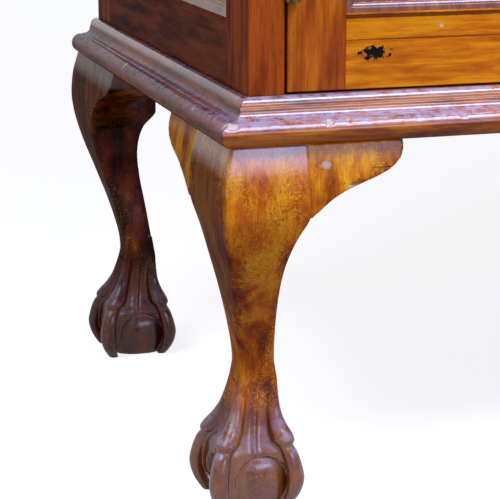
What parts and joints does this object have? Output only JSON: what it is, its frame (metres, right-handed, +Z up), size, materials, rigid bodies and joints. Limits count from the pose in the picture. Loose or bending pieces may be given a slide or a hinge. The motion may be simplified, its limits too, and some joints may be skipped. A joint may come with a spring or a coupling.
{
  "type": "glazed display cabinet",
  "caption": "Tall glazed display cabinet on carved cabriole legs, with astragal-barred doors, glazed sides, shelves, a moulded base and a projecting cornice",
  "frame": {"origin": "on the floor, under the middle of the whole cabinet", "axes": "+X to the right seen from the front, +Y to the back, +Z up; the doors face -Y"},
  "size_m": [1.086, 0.5324, 1.59],
  "materials": {
    "mahogany": "polished",
    "carcase_wood": "satin",
    "glass": "clear",
    "brass": "tarnished",
    "steel": "dull",
    "key_metal": "worn"
  },
  "bodies": {
    "cabinet": {"back_boards": "carcase_wood", "base_moulding_front": "mahogany", "base_moulding_left": "mahogany", "base_moulding_right": "mahogany", "base_rail_back": "carcase_wood", "base_rail_front": "carcase_wood", "base_rail_left": "carcase_wood", "base_rail_right": "carcase_wood", "bottom_board": "carcase_wood", "cornice_front": "mahogany", "cornice_left": "mahogany", "cornice_right": "mahogany", "ears_back_left": "mahogany", "ears_back_right": "mahogany", "ears_front_left": "mahogany", "ears_front_right": "mahogany", "frieze_rail": "mahogany", "hinge_leaves_carcase": "brass", "leg_back_left": "mahogany", "leg_back_right": "mahogany", "leg_front_left": "mahogany", "leg_front_right": "mahogany", "shelf_bearers": "carcase_wood", "shelf_lower": "mahogany", "shelf_upper": "mahogany", "side_beads": "mahogany", "side_left_back_stile": "mahogany", "side_left_bottom_rail": "mahogany", "side_left_front_stile": "mahogany", "side_left_glass": "glass", "side_left_top_rail": "mahogany", "side_right_back_stile": "mahogany", "side_right_bottom_rail": "mahogany", "side_right_front_stile": "mahogany", "side_right_glass": "glass", "side_right_top_rail": "mahogany", "top_board": "carcase_wood"},
    "left_door": {"door_left_beads": "mahogany", "door_left_bottom_rail": "mahogany", "door_left_glass": "glass", "door_left_hinge_stile": "mahogany", "door_left_lattice": "mahogany", "door_left_meeting_stile": "mahogany", "door_left_top_rail": "mahogany", "hinge_leaves_left_door": "brass", "flush_bolt_plates": "brass"},
    "right_door": {"door_right_beads": "mahogany", "door_right_bottom_rail": "mahogany", "door_right_glass": "glass", "door_right_hinge_stile": "mahogany", "door_right_lattice": "mahogany", "door_right_meeting_stile": "mahogany", "door_right_top_rail": "mahogany", "hinge_leaves_right_door": "brass", "lock_case": "steel", "escutcheon": "brass"},
    "key": {"key": "key_metal"},
    "lock_bolt": {"lock_bolt": "steel"},
    "top_bolt": {"flush_bolt_top": "brass"},
    "bottom_bolt": {"flush_bolt_bottom": "brass"}
  },
  "joints": [
    {"name": "left_door_swing", "type": "hinge", "parent": "cabinet", "child": "left_door", "pos_m": [-0.47465, -0.2321, 0.91], "axis": [0, 0, -1], "range_deg": [0, 110]},
    {"name": "right_door_swing", "type": "hinge", "parent": "cabinet", "child": "right_door", "pos_m": [0.47465, -0.2321, 0.91], "axis": [0, 0, 1], "range_deg": [0, 110]},
    {"name": "key_turn", "type": "hinge", "parent": "right_door", "child": "key", "pos_m": [0.01825, -0.2283, 0.9125], "axis": [0, 1, 0], "range_deg": [0, 90]},
    {"name": "lock_shoot", "type": "slide", "parent": "right_door", "child": "lock_bolt", "axis": [-1, 0, 0], "range_m": [0, 0.008]},
    {"name": "top_bolt_slide", "type": "slide", "parent": "left_door", "child": "top_bolt", "axis": [0, 0, 1], "range_m": [0, 0.01]},
    {"name": "bottom_bolt_slide", "type": "slide", "parent": "left_door", "child": "bottom_bolt", "axis": [0, 0, -1], "range_m": [0, 0.01]}
  ],
  "couplings": [
    {"joint": "lock_shoot", "follows": "key_turn", "m_per_rad": 0.0050929}
  ]
}
